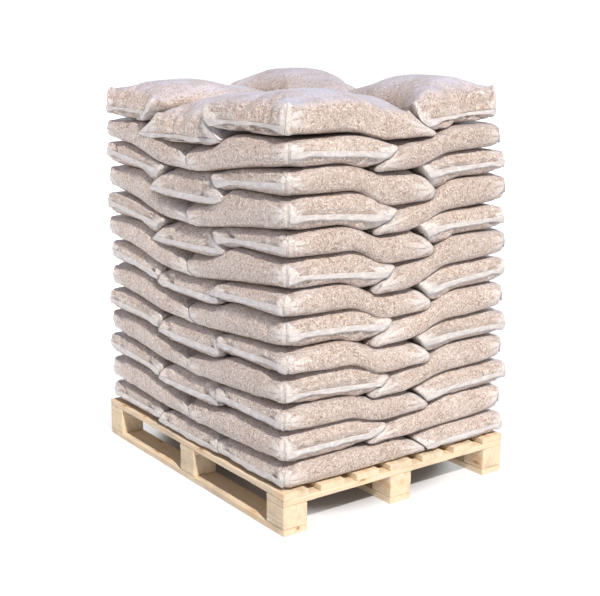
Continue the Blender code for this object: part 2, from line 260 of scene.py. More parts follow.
def close_up(piece):
    """Merge the doubled points of seams and poles, and turn every face outwards."""
    work = bmesh.new()
    work.from_mesh(piece.data)
    bmesh.ops.remove_doubles(work, verts=work.verts, dist=1e-6)
    bmesh.ops.dissolve_degenerate(work, edges=work.edges, dist=1e-7)
    bmesh.ops.recalc_face_normals(work, faces=work.faces)
    work.to_mesh(piece.data)
    work.free()


LONG, SHORT = 0, 1
ROWS = ("front", "middle", "back")
COLUMNS = ("left", "centre", "right")
pine = softwood()
for number, row in enumerate(ROWS):
    sawn_board(f"bottom_board_of_{row}_row", "bottom_board_" + row, LONG, seed=10 + number)


# Blocks.
# Nine short lengths sawn off a square timber. They stand between the bottom boards and the stringers,
# their ends show the rings, and the gaps between them let a fork in from all four sides.

for number, (row, column) in enumerate((row, column) for row in ROWS for column in COLUMNS):
    sawn_board(f"pallet_block_{row}_{column}", f"block_{row}_{column}", LONG, seed=20 + number,
               radius=0.003, stations=9)


# Stringers.
# Three boards of the same sawn softwood across the pallet. They lie on the blocks and under the deck
# boards, and the deck boards' nails hold them.

for number, column in enumerate(COLUMNS):
    sawn_board(f"pallet_stringer_{column}", "stringer_" + column, SHORT, seed=40 + number)


# Deck boards.
# Seven long boards of sawn softwood with gaps between them, which carry the load. They are nailed down
# through the stringers into the blocks.

DECK_BOARDS = 7
for number in range(1, DECK_BOARDS + 1):
    sawn_board(f"pallet_deck_board_{number}", f"deck_board_{number}", LONG, seed=50 + number)


# Nails.
# Steel wire nails with flat heads, driven flush: two wherever a deck board crosses a stringer, and
# three up through a bottom board into each block. The load hides most of them.

NAIL_HEAD = 0.0045
HEAD_PROFILE = ((0.0, 0.0003), (0.82, 0.0003), (1.0, 0.0007), (1.0, 0.0035), (0.0, 0.0035))
DECK_PAIR = ((-0.022, -0.024), (0.020, 0.026))
BLOCK_THREE = ((-0.026, -0.020), (0.024, -0.014), (0.002, 0.024))


def driven_steel():
    """Dull drawn steel with brown spots of rust."""
    material, shader, wire = new_material("driven steel")
    body = wire.node("ShaderNodeTexCoord", {}, output=3)
    rust = body.node("ShaderNodeTexNoise", {}, {"Vector": body, "Scale": 260.0, "Detail": 3.0})
    colour = rust.between(0.42, 0.66).blend((0.36, 0.35, 0.34), (0.22, 0.12, 0.07))
    colour.into(shader, "Base Color")
    rough = 0.35 + rust * 0.40
    rough.into(shader, "Roughness")
    shader.inputs["Metallic"].default_value = 0.75
    return material


def nail_heads(spots, up):
    """Discs with a softened rim: one profile of radius and depth, turned round each spot's upright axis."""
    profile = np.array(HEAD_PROFILE)
    turn = np.linspace(0, 2 * np.pi, 12, endpoint=False)
    reach = NAIL_HEAD * profile[:, :1]
    heads = np.empty((len(spots), len(profile), len(turn), 3))
    heads[..., 0] = spots[:, None, None, 0] + reach * np.cos(turn)
    heads[..., 1] = spots[:, None, None, 1] + reach * np.sin(turn)
    heads[..., 2] = spots[:, None, None, 2] - up * profile[:, 1:]
    index = np.arange(heads[..., 0].size).reshape(heads.shape[:3])
    index = np.concatenate((index, index[..., :1]), axis=2)
    faces = np.stack((index[:, :-1, :-1], index[:, 1:, :-1], index[:, 1:, 1:], index[:, :-1, 1:]), -1)
    return heads.reshape(-1, 3), faces.reshape(-1, 4)


def nail_spots(boards, pattern, on_top):
    """A small pattern of nails round each crossing of a board with a stringer, on one face of the board."""
    low, high = np.array([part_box(board) for board in boards]).transpose(1, 0, 2)
    crossings = np.array([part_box("stringer_" + column) for column in COLUMNS]).mean(axis=1)
    spots = np.empty((len(boards), len(crossings), len(pattern), 3))
    spots[..., 0] = crossings[:, None, 0]
    spots[..., 1] = (low + high)[:, None, None, 1] / 2
    spots[..., 2] = (high if on_top else low)[:, None, None, 2]
    spots[..., :2] += pattern
    return spots.reshape(-1, 3)


deck_nails = nail_spots([f"deck_board_{n}" for n in range(1, DECK_BOARDS + 1)], DECK_PAIR, True)
block_nails = nail_spots(["bottom_board_" + row for row in ROWS], BLOCK_THREE, False)
deck_heads, deck_faces = nail_heads(deck_nails, 1.0)
block_heads, block_faces = nail_heads(block_nails, -1.0)
nails = solid_mesh("pallet_nails", np.vstack((deck_heads, block_heads)),
                   [deck_faces, block_faces + len(deck_heads)])
close_up(nails)
nails.data.set_sharp_from_angle(angle=np.radians(50))
nails.data.materials.append(driven_steel())
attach(nails, "root")


# Bags.
# Each is a tube of clear film, filled with wood pellets and heat-sealed flat across both ends. One is
# cut flat, blown full between two plates as it lies pressed in a stack, and kept as a pattern.

FILM_LENGTH = 0.655
FILM_WIDTH = 0.455
PRESSED_HALF = 0.046
LENS_HALF = 0.036
CRUMPLE = 0.0006
BAG_ROWS = 57
BAG_COLUMNS = 43
ROW_CROWDING = 1.35


def near(distance, reach):
    """1 at no distance, falling as a bell to almost 0 at twice the reach."""
    return np.exp(-(distance / reach) ** 2)


def film_grid():
    """Shares of the film's length and width at each point of one sheet.

    A row's distance from the seal is raised to a power over 1, so the rows crowd together near the seals.
    """
    step = np.linspace(-1, 1, BAG_ROWS)
    along = np.sign(step) * (1 - (1 - np.abs(step)) ** ROW_CROWDING)
    return np.meshgrid(along, np.linspace(-1, 1, BAG_COLUMNS), indexing="ij")


FILM_ALONG, FILM_ACROSS = film_grid()
UPPER_SHEET = np.arange(FILM_ALONG.size).reshape(FILM_ALONG.shape)
LOWER_SHEET = UPPER_SHEET.copy()
LOWER_SHEET[1:-1, 1:-1] = UPPER_SHEET.size + np.arange((BAG_ROWS - 2) * (BAG_COLUMNS - 2)).reshape(
    BAG_ROWS - 2, BAG_COLUMNS - 2)
POINT_ALONG = np.concatenate((FILM_ALONG.ravel(), FILM_ALONG[1:-1, 1:-1].ravel()))
POINT_ACROSS = np.concatenate((FILM_ACROSS.ravel(), FILM_ACROSS[1:-1, 1:-1].ravel()))
POINT_ROW = np.empty(len(POINT_ALONG), int)
POINT_ROW[UPPER_SHEET] = np.arange(BAG_ROWS)[:, None]
POINT_ROW[LOWER_SHEET] = np.arange(BAG_ROWS)[:, None]
POINT_COLUMN = np.empty(len(POINT_ALONG), int)
POINT_COLUMN[UPPER_SHEET] = np.arange(BAG_COLUMNS)
POINT_COLUMN[LOWER_SHEET] = np.arange(BAG_COLUMNS)


def flat_bag(seed):
    """The cut film: two sheets joined at their rims and parted as a thin lens, with a little crumple.

    The lens is as high as the root of 1 less the share along squared, times the same for the share across.
    """
    rng = np.random.default_rng(seed)
    lens = LENS_HALF * np.sqrt((1 - FILM_ALONG ** 2) * (1 - FILM_ACROSS ** 2))
    crumple = rng.normal(0, CRUMPLE, lens.shape) * (lens > 0)
    height = np.concatenate(((crumple + lens).ravel(), (crumple - lens)[1:-1, 1:-1].ravel()))
    return np.column_stack((POINT_ALONG * FILM_LENGTH / 2, POINT_ACROSS * FILM_WIDTH / 2, height))


def press_plate(height, faces_up):
    """A flat plate that the film can't pass, cut into squares because cloth meets small faces better."""
    step = np.linspace(-0.45, 0.45, 9)
    x, y = np.meshgrid(step, step, indexing="ij")
    points = np.stack((x, y, np.full_like(x, height)), -1).reshape(-1, 3)
    squares = grid_faces(np.arange(x.size).reshape(x.shape), flip=not faces_up)
    plate = solid_mesh("press_plate", points, [squares])
    plate.modifiers.new("stop", "COLLISION")
    plate.collision.thickness_outer = 0.001
    plate.collision.cloth_friction = 2.0
    return plate


def fill_bag(seed, pressure, volume, frames):
    """Blow one flat bag full against the plates that stand, and give back its points."""
    sheets = [grid_faces(UPPER_SHEET), grid_faces(LOWER_SHEET, flip=True)]
    bag = solid_mesh("bag_pattern", flat_bag(seed), sheets)
    cloth = bag.modifiers.new("film", "CLOTH")
    film = cloth.settings
    film.quality = 6
    film.mass = 0.15
    film.tension_stiffness = film.compression_stiffness = 40.0
    film.shear_stiffness = 20.0
    film.bending_stiffness = 0.02
    film.air_damping = 2.0
    film.tension_damping = film.compression_damping = film.shear_damping = 10.0
    film.use_pressure = True
    film.uniform_pressure_force = pressure
    film.use_pressure_volume = True
    film.target_volume = volume
    film.effector_weights.gravity = 0.0
    cloth.collision_settings.distance_min = 0.001
    cloth.collision_settings.use_self_collision = False
    for frame_number in range(1, frames + 1):
        bpy.context.scene.frame_set(frame_number)
    shape = bag.evaluated_get(bpy.context.evaluated_depsgraph_get()).to_mesh()
    filled = np.empty(len(shape.vertices) * 3, np.float32)
    shape.vertices.foreach_get("co", filled)
    bpy.context.scene.frame_set(1)
    bpy.data.objects.remove(bag, do_unlink=True)
    return filled.reshape(-1, 3).astype(float)


def settle(points):
    """A pattern in shares of the bag: -1 to 1 along it, across it, and from its lowest to its highest point.

    Each row is stretched across to the same width, and each column most of the way to the same length, so
    that bags can lie side by side. The seals are drawn down to 0, as they are flat and stiff. The corners,
    which pellets fill better than gas does, are most of the way a plain pillow's.
    """
    half = np.zeros(BAG_ROWS)
    np.maximum.at(half, POINT_ROW, np.abs(points[:, 1]))
    reach = np.zeros(BAG_COLUMNS)
    np.maximum.at(reach, POINT_COLUMN, np.abs(points[:, 0]))
    reach = reach ** 0.75 * reach.max() ** 0.25
    along, across = points[:, 0] / reach[POINT_COLUMN], points[:, 1] / half[POINT_ROW]
    rise = points[:, 2] - np.median(points[UPPER_SHEET[0], 2])
    for end, sign in ((0, 1), (-1, -1)):
        rise = rise - rise[UPPER_SHEET[end]][POINT_COLUMN] * near(1 + sign * POINT_ALONG, 0.15)
    rise = np.where(rise > 0, rise / rise.max(), rise / -rise.min())
    side = np.where(np.arange(len(rise)) < UPPER_SHEET.size, 1.0, -1.0)
    plump = side * np.sqrt((1 - POINT_ALONG ** 8) * (1 - POINT_ACROSS ** 8))
    by_corner = near(1 - np.abs(POINT_ALONG), 0.15) * near(1 - np.abs(POINT_ACROSS), 0.20)
    share = (0.85 * np.clip(1.6 * by_corner, 0, 1))[:, None]
    settled = np.column_stack((along, across, rise))
    return settled + share * (np.column_stack((POINT_ALONG, POINT_ACROSS, plump)) - settled)


PRESSED_VOLUME, PRESSED_FRAMES = 0.030, 14
LOOSE_VOLUME, LOOSE_FRAMES = 0.026, 16
PRESSURES = (6.0, 3.5, 5.0, 2.5, 4.0)
LOOSE_PRESSURE = 5.0


def filled_patterns():
    """Patterns pressed from both sides, for the layers inside the load, and from below, for its top."""
    below = press_plate(-PRESSED_HALF - 0.001, True)
    loose = [settle(fill_bag(seed, LOOSE_PRESSURE, LOOSE_VOLUME, LOOSE_FRAMES)) for seed in (20, 21)]
    above = press_plate(PRESSED_HALF + 0.001, False)
    pressed = [settle(fill_bag(seed, pressure, PRESSED_VOLUME, PRESSED_FRAMES))
               for seed, pressure in enumerate(PRESSURES)]
    for plate in (below, above):
        bpy.data.objects.remove(plate, do_unlink=True)
    return pressed, loose


pressed_patterns, loose_patterns = filled_patterns()


# Film and pellets.
# The film is clear and lies tight on the pellets, which are short rods of pressed sawdust. It shines
# softly, and it turns milky where it is gathered and creased, most of all at a bag's four corners. That
# white is partly real and partly a painted highlight, which stands in for the glints on the creases.

RODS_PER_METRE = (235.0, 122.0, 1.0)
FLAT_NOISE = {"noise_dimensions": "2D"}
FLAT_CELLS = {"voronoi_dimensions": "2D"}


def pellet_film():
    """Rods in three directions, in patches, drawn in the film's own flat measure, with painted shade in the
    gaps between them, under a glossy coat.

    The attribute "crease" holds, for each point, its angle and distance from the nearest corner of the bag,
    and how white the film is there, partly milky film and partly a painted highlight. Another attribute is
    how far it faces up, where the film gets a painted lilac reflection of the sky.
    """
    material, shader, wire = new_material("clear film over wood pellets")
    flat = wire.node("ShaderNodeUVMap", {"uv_map": "film"})
    ripple = flat.node("ShaderNodeTexNoise", FLAT_NOISE, {"Vector": flat, "Scale": 60.0}, 1)
    shaken = ripple.node("ShaderNodeVectorMath", {"operation": "MULTIPLY_ADD"},
                         {0: ripple, 1: (0.012,) * 3, 2: flat})
    patch = shaken.node("ShaderNodeTexVoronoi", FLAT_CELLS, {"Vector": shaken, "Scale": 48.0}, 1)
    pick = patch.node("ShaderNodeSeparateColor", {}, {0: patch})
    for turn, angle in enumerate((0.25, 1.30, 2.45)):
        place = flat.turned(angle, RODS_PER_METRE)
        cell = place.node("ShaderNodeTexVoronoi", FLAT_CELLS, {"Vector": place, "Scale": 1.0}, 1)
        edge = place.node("ShaderNodeTexVoronoi", {**FLAT_CELLS, "feature": "DISTANCE_TO_EDGE"},
                          {"Vector": place, "Scale": 1.0})
        number = cell.node("ShaderNodeSeparateColor", {}, {0: cell})
        tint = cell.node("ShaderNodeSeparateColor", {}, {0: cell}, 1)
        if turn == 0:
            rod, gap, other = number, edge, tint
        else:
            here = pick.sum("GREATER_THAN", pick, 0.33 * turn)
            rod, gap = rod + here * (number - rod), gap + here * (edge - gap)
            other = other + here * (tint - other)
    colour = rod.node("ShaderNodeValToRGB", {"stops": (
        (0.00, (0.28, 0.185, 0.135)), (0.14, (0.42, 0.305, 0.23)), (0.36, (0.55, 0.43, 0.34)),
        (0.62, (0.63, 0.51, 0.42)), (0.84, (0.71, 0.60, 0.51)), (1.00, (0.84, 0.76, 0.68)))}, {0: rod})
    colour = (other.between(0.45, 1.0) * 0.5).blend(colour, (0.62, 0.50, 0.48))
    # Painted shade: the gaps between the pellets are darkened, as if shade fell into them.
    painted_gap_shade = 1.0 - gap.between(0.0, 0.14)
    colour = (painted_gap_shade * 0.7).blend(colour, (0.14, 0.09, 0.065))
    body = wire.node("ShaderNodeTexCoord", {}, output=3)
    cloud = body.node("ShaderNodeTexNoise", {},
                      {"Vector": body, "Scale": 9.0, "Detail": 4.0, "Roughness": 0.6})
    crease = wire.node("ShaderNodeAttribute", {"attribute_name": "crease"}, output=1)
    _, _, milk_and_glint = crease.apart()
    fan = crease.noise((7.0, 16.0, 0.0), 5.0, settings=FLAT_NOISE, Roughness=0.7, Distortion=0.8)
    ridged = {**FLAT_NOISE, "noise_type": "RIDGED_MULTIFRACTAL"}
    crumple = flat.noise((38.0, 38.0, 1.0), 4.0, 0.4, ridged, Roughness=0.6, Distortion=0.6)
    # Milky film at the corners and creases: partly real, and partly a painted highlight standing in for
    # glints.
    lines = (fan.between(0.48, 0.60) * 0.7 + crumple.between(0.62, 1.15) * 0.6) * milk_and_glint
    core = milk_and_glint.between(0.95, 1.40)
    haze_and_glint = 0.05 + cloud.between(0.42, 0.78) * 0.12 + lines * 0.9 + core * 0.40
    haze_and_glint = haze_and_glint.sum("MINIMUM", haze_and_glint, 0.88)
    colour = haze_and_glint.blend(colour, (0.87, 0.83, 0.80))
    # Painted reflection: film that faces up is tinted lilac, as if it mirrored the sky.
    bloom = wire.node("ShaderNodeAttribute", {"attribute_name": "bloom"}, output=2)
    colour = (bloom * (0.22 + cloud.between(0.32, 0.68) * 0.40)).blend(colour, (0.73, 0.77, 0.97))
    tone = wire.node("ShaderNodeAttribute", {"attribute_name": "tone"}, output=2)
    colour = wire.node("ShaderNodeHueSaturation", {}, {"Value": tone, "Color": colour})
    colour.into(shader, "Base Color")
    rough = 0.50 + haze_and_glint * 0.2
    rough.into(shader, "Roughness")
    shader.inputs["Coat Weight"].default_value = 0.7
    shader.inputs["Coat Roughness"].default_value = 0.22
    shader.inputs["Coat IOR"].default_value = 1.5
    relief = gap.between(0.0, 0.40) * (1.0 - core) + lines * 1.5 + cloud * 1.5
    bump = relief.node("ShaderNodeBump", {}, {"Height": relief, "Distance": 0.0016, "Strength": 0.9})
    bump.into(shader, "Normal")
    return material


def sealed_film():
    """Two thicknesses of clear film welded together: pale grey, with fine ribs from the sealing bar."""
    material, shader, wire = new_material("heat-sealed film")
    flat = wire.node("ShaderNodeUVMap", {"uv_map": "film"})
    blotch = flat.noise((28.0, 90.0, 1.0), 4.0, settings=FLAT_NOISE)
    colour = blotch.between(0.35, 0.7).blend((0.50, 0.465, 0.445), (0.62, 0.585, 0.565))
    pucker = flat.noise((110.0, 8.0, 1.0), 3.0, settings=FLAT_NOISE, Distortion=0.5)
    colour = (pucker.between(0.58, 0.80) * 0.5).blend(colour, (0.78, 0.75, 0.73))
    colour.into(shader, "Base Color")
    rough = 0.30 + blotch * 0.15
    rough.into(shader, "Roughness")
    shader.inputs["Coat Weight"].default_value = 0.5
    shader.inputs["Coat Roughness"].default_value = 0.15
    rib_place = flat.turned(0.0, (0.0, 320.0, 1.0))
    rib = flat.node("ShaderNodeTexWave", {"bands_direction": "Y"}, {"Vector": rib_place, "Scale": 1.0})
    relief = rib * 0.25 + pucker * 1.5
    bump = relief.node("ShaderNodeBump", {}, {"Height": relief, "Distance": 0.0010, "Strength": 0.6})
    bump.into(shader, "Normal")
    return material


# Layers.
# Five bags make a layer: three lengthwise beside two crosswise. Every other layer is turned half
# round, so that each joint is bridged by the bags above and below, and the load holds itself together.

LAYERS = 13
FIRST_UPPER_LAYER = 8
HALF_BAG = 0.200
SPLIT = 0.100
SEAT = 0.0005
RIGHT_FACE = 0.600
FRONT_FACE = -0.500
LEFT_FACES = (-0.606, -0.624, -0.624, -0.612, -0.616, -0.606, -0.602, -0.612, -0.610, -0.616, -0.608,
              -0.616, -0.606)
BACK_FACES = (0.530, 0.510, 0.524, 0.500, 0.510, 0.490, 0.500, 0.484, 0.474, 0.478, 0.471, 0.438, 0.420)
CORNER_LEVELS = (0.144, 0.230, 0.334, 0.422, 0.518, 0.607, 0.705, 0.798, 0.892, 0.981, 1.082, 1.172, 1.256)
FRONT_VALLEYS = (0.0, 0.014, 0.033, 0.030, 0.046, 0.035, 0.047, 0.058, 0.070, 0.065, 0.080, 0.070, 0.066)
SIDE_VALLEYS = (0.0, 0.008, 0.038, 0.042, 0.060, 0.054, 0.065, 0.070, 0.070, 0.062, 0.075, 0.050, 0.042)


def bearing(level, x, y):
    """Height of the face where two layers meet.

    It is a plane that rises slowly from the front right corner, less a valley at the middle of each side,
    where the joints between bags let the load settle. A valley is a flat-bottomed bell along its side, and
    half as deep at the middle of the load.
    """
    plane = CORNER_LEVELS[level] - 0.0010 * level * (x - RIGHT_FACE) + 0.0033 * level * (y - FRONT_FACE)
    if level % 2 == 0:
        along_front = np.exp(-(np.abs(x + 0.02) / 0.240) ** 5)
        along_side = np.exp(-(np.abs(y + 0.005) / 0.160) ** 4)
    else:
        on_left = x < -0.04
        reach, power = np.where(on_left, 0.29, 0.36), np.where(on_left, 3.0, 2.0)
        along_front = np.exp(-(np.abs(x + 0.04) / reach) ** power)
        along_side = np.exp(-(np.abs(y + 0.035) / 0.155) ** 3)
    front = FRONT_VALLEYS[level] * along_front * np.clip(0.4 + 2.4 * y ** 2, 0, 1)
    side = SIDE_VALLEYS[level] * along_side * np.clip(0.4 + 1.7 * x ** 2, 0, 1)
    return plane - front - side


def bag_places(layer):
    """The bags of a layer: name, low x, high x, low y, high y, and whether they lie lengthwise, along Y."""
    left, back = LEFT_FACES[layer], BACK_FACES[layer]
    edges = (left, -HALF_BAG, HALF_BAG, RIGHT_FACE)
    if layer % 2 == 0:
        three, two = ("front", FRONT_FACE, SPLIT), ("back", SPLIT, back)
    else:
        three, two = ("back", -SPLIT, back), ("front", FRONT_FACE, -SPLIT)
    places = [(f"{three[0]}_{name}", edges[i], edges[i + 1], three[1], three[2], True)
              for i, name in enumerate(("left", "middle", "right"))]
    return places + [(f"{two[0]}_{name}", low, high, two[1], two[2], False)
                     for name, low, high in (("left", left, 0.0), ("right", 0.0, RIGHT_FACE))]


TOP_LEAN, UPPER_LEAN, LOWER_LEAN = 0.14, 0.10, 0.03


def lean(layer, x, y, share):
    """Slant the joints where they show on a side, so that one bag's tip lies under its neighbour.

    Each joint's line shifts along the side by its lean times the height share from the middle, and the
    shift dies away inside the load and to both sides of the joint. The top layer's middle bag also pushes
    its left neighbour aside at the front.
    """
    top = layer == LAYERS - 1
    steep = TOP_LEAN if top else (UPPER_LEAN if layer >= FIRST_UPPER_LAYER else LOWER_LEAN)
    front, right = near(y - FRONT_FACE, 0.15), near(x - RIGHT_FACE, 0.15)
    back, left = near(y - BACK_FACES[layer], 0.15), near(x - LEFT_FACES[layer], 0.15)
    at_low, at_high = near(x + HALF_BAG, 0.10), near(x - HALF_BAG, 0.10)
    at_middle = near(x + 0.02, 0.12)
    threes, pair = (front, back) if layer % 2 == 0 else (back, front)
    shift_x = threes * steep * (at_low - at_high) - pair * 0.12 * at_middle
    if layer % 2 == 0:
        shift_y = -(0.16 if top else 0.10) * (right + left) * near(y - SPLIT, 0.12)
    else:
        shift_y = 0.12 * (right + left) * near(y + SPLIT, 0.12)
    if top:
        pushed = 0.09 * near(x + HALF_BAG, 0.14) + 0.02 * near(x - HALF_BAG, 0.12)
        x = x - pushed * near(y - FRONT_FACE, 0.22)
    return x + shift_x * (share - 0.5), y + shift_y * (share - 0.5)


def round_corner(x, y, corner_x, corner_y, radius):
    """Draw the outline's corner in to an arc: a square quarter round the arc's centre becomes a disc's."""
    sign_x, sign_y = np.sign(corner_x), np.sign(corner_y)
    centre_x, centre_y = corner_x - sign_x * radius, corner_y - sign_y * radius
    over_x, over_y = (x - centre_x) * sign_x, (y - centre_y) * sign_y
    inside = (over_x > 0) & (over_y > 0)
    reach = np.hypot(over_x, over_y)
    share = np.where(inside, np.maximum(over_x, over_y) / np.maximum(reach, 1e-9), 1.0)
    return centre_x + sign_x * over_x * share, centre_y + sign_y * over_y * share


CORNER_RADIUS = 0.048
TOP_CROWNS = {"front_left": 0.142, "front_middle": 0.140, "front_right": 0.138,
              "back_left": 0.166, "back_right": 0.158}
TOP_SEAM = 0.040
FACE_WAVER = (-0.004, 0.008)
OVERWIDE = 1.06
BRIDGE_START, BRIDGE_SHARE = 0.36, 0.6


def free_sides(layer, place):
    """Which of a bag's four sides show. The keys are a side's axis and its sign."""
    _, low_x, high_x, low_y, high_y, _ = place
    return {(0, -1): low_x == LEFT_FACES[layer], (0, 1): high_x == RIGHT_FACE,
            (1, -1): low_y == FRONT_FACE, (1, 1): high_y == BACK_FACES[layer]}


def shoulder_power(rise, u, v, free, sealed_axis, top):
    """The power that a height share is raised to: small where the bag shows, so that it looks full.

    Each side's own power counts by how near the side is, and a corner that shows on both sides is fullest.
    """
    power, weight = np.full(len(u), 0.27), np.full(len(u), 0.3)
    closeness = {}
    for axis, share in enumerate((u, v)):
        for sign in (-1, 1):
            close = near(1 - sign * share, 0.16)
            closeness[axis, sign] = close * free[axis, sign]
            if free[axis, sign] and axis == sealed_axis:
                wanted = np.where(rise < 0, 0.50, 0.40 if top else 0.50)
            elif free[axis, sign]:
                wanted = 0.36 if top else 0.42
            elif axis == sealed_axis:
                wanted = np.where(rise < 0, 0.50, 0.72)
            else:
                wanted = 0.80
            power = power + close * wanted
            weight = weight + close
    corner = sum(closeness[0, i] * closeness[1, j] for i in (-1, 1) for j in (-1, 1))
    return power / weight * (1 - 0.28 * np.clip(corner, 0, 1))


def seam_level(layer, place, end_share, across_share, floor, ceiling, rng):
    """Share of the bag's height at which its seams lie.

    A seal that shows follows a straight line fitted to the middle between the two faces, a step lower in
    the middle bag of three and a step higher in the outer ones, with a slant of its own. One inside the
    load lies low. Away from both seals the level comes back to half the height.
    """
    name, *_, lengthwise = place
    top, free = layer == LAYERS - 1, free_sides(layer, place)
    step = (-0.10 if name.endswith("middle") else 0.06) * lengthwise
    step = step * (1.0 if layer >= FIRST_UPPER_LAYER else 0.4)
    slack = 0.2 if top else 1.0
    at_ends = np.isin(POINT_ROW, (0, BAG_ROWS - 1)) & (np.abs(across_share) < 0.75)
    seam = np.full(len(end_share), 0.5)
    for sign in (-1, 1):
        on_side = end_share * sign > 0
        level = np.full(len(end_share), 0.36)
        if free[int(lengthwise), sign]:
            row = at_ends & on_side
            middle = ((floor + ceiling) / 2)[row]
            straight = np.polyval(np.polyfit(across_share[row], middle, 1), across_share)
            level = 0.5 + 0.85 * ((straight - floor) / (ceiling - floor) - 0.5) + step
            level = level + slack * (rng.uniform(-0.07, 0.05) + rng.uniform(-0.07, 0.07) * across_share)
        seam = np.where(on_side, 0.5 + (level - 0.5) * near(1 - np.abs(end_share), 0.25), seam)
    return np.clip(seam, 0.08 if top else 0.18, 0.80)


def lay_bag(layer, place, rng):
    """Points of one bag, laid from a pattern into its place between two bearing faces.

    Where the bag shows, its height share is raised to a power under 1, which fills out its shoulders as
    the weight above does. At a joint between long sides the pattern is made a little too wide and cut off
    at the joint, so that neighbours press flat against each other. The outer bags of the top layer's three
    bridge the valley under them. Inside the load a point's height is its share of the space between the
    faces, shifted by a parabola that brings the seams to their level. In the top layer it is a share of the
    seams' height below them, and of the rest of the crown above them.
    """
    name, low_x, high_x, low_y, high_y, lengthwise = place
    top = layer == LAYERS - 1
    patterns = loose_patterns if top else pressed_patterns
    a, b, rise = patterns[rng.integers(len(patterns))].T
    flip_along, flip_across = rng.choice((-1.0, 1.0), 2)
    a, b = a * flip_along, b * flip_across
    if not top and rng.random() < 0.5:
        rise = -rise
    free = free_sides(layer, place)
    low_x = low_x + free[0, -1] * rng.uniform(*FACE_WAVER)
    low_y = low_y + free[1, -1] * rng.uniform(*FACE_WAVER)
    high_x = high_x - free[0, 1] * rng.uniform(*FACE_WAVER)
    high_y = high_y - free[1, 1] * rng.uniform(*FACE_WAVER)
    sealed_axis, side_axis = int(lengthwise), int(not lengthwise)
    shares = [b, a] if lengthwise else [a, b]
    fat = np.sign(rise) * np.abs(rise) ** shoulder_power(rise, *shares, free, sealed_axis, top)
    for sign in (-1, 1):
        if not free[side_axis, sign]:
            wide = sign * np.minimum(sign * shares[side_axis] * OVERWIDE, 1.0)
            shares[side_axis] = np.where(sign * shares[side_axis] > 0, wide, shares[side_axis])
    u, v = shares
    x = (low_x + high_x) / 2 + u * ((high_x - low_x) / 2 - SEAT)
    y = (low_y + high_y) / 2 + v * ((high_y - low_y) / 2 - SEAT)
    for corner_x, sign_x in ((low_x, -1), (high_x, 1)):
        for corner_y, sign_y in ((low_y, -1), (high_y, 1)):
            if free[0, sign_x] and free[1, sign_y]:
                x, y = round_corner(x, y, corner_x, corner_y, CORNER_RADIUS)
    floor = bearing(layer, x, y) + SEAT
    end_share, across_share = shares[sealed_axis], shares[side_axis]
    if top and lengthwise and name != "front_middle":
        held = bearing(layer, np.sign(x) * np.maximum(np.abs(x), BRIDGE_START), y)
        floor = np.maximum(floor, floor + BRIDGE_SHARE * (held - floor))
    ceiling = floor + 2 * TOP_SEAM if top else bearing(layer + 1, x, y) - SEAT
    seam = seam_level(layer, place, end_share, across_share, floor, ceiling, rng)
    if top:
        seam = 2 * TOP_SEAM * seam
        height = np.where(fat < 0, seam * (1 + fat), seam + fat * (TOP_CROWNS[name] - seam))
        share = 0.5 + 0.5 * np.tanh((height - 0.030) / 0.030)
    else:
        share = 0.5 + 0.5 * fat
        share = share + (seam - 0.5) * 4 * share * (1 - share)
        height = share * (ceiling - floor)
    z = floor + height
    x, y = lean(layer, x, y, share)
    return np.column_stack((x, y, z))


STRIP_ROWS = 9
STRIP_WIDTHS = (0.019, 0.023)
STRIP_HALF = 0.0006


def evened(values, reach):
    """A running mean over the columns, which leaves a straight slope as it is."""
    sides = [(0, 0), (reach, reach)] + [(0, 0)] * (values.ndim - 2)
    padded = np.pad(values, sides, mode="reflect", reflect_type="odd")
    return np.lib.stride_tricks.sliding_window_view(padded, 2 * reach + 1, axis=1).mean(axis=-1)


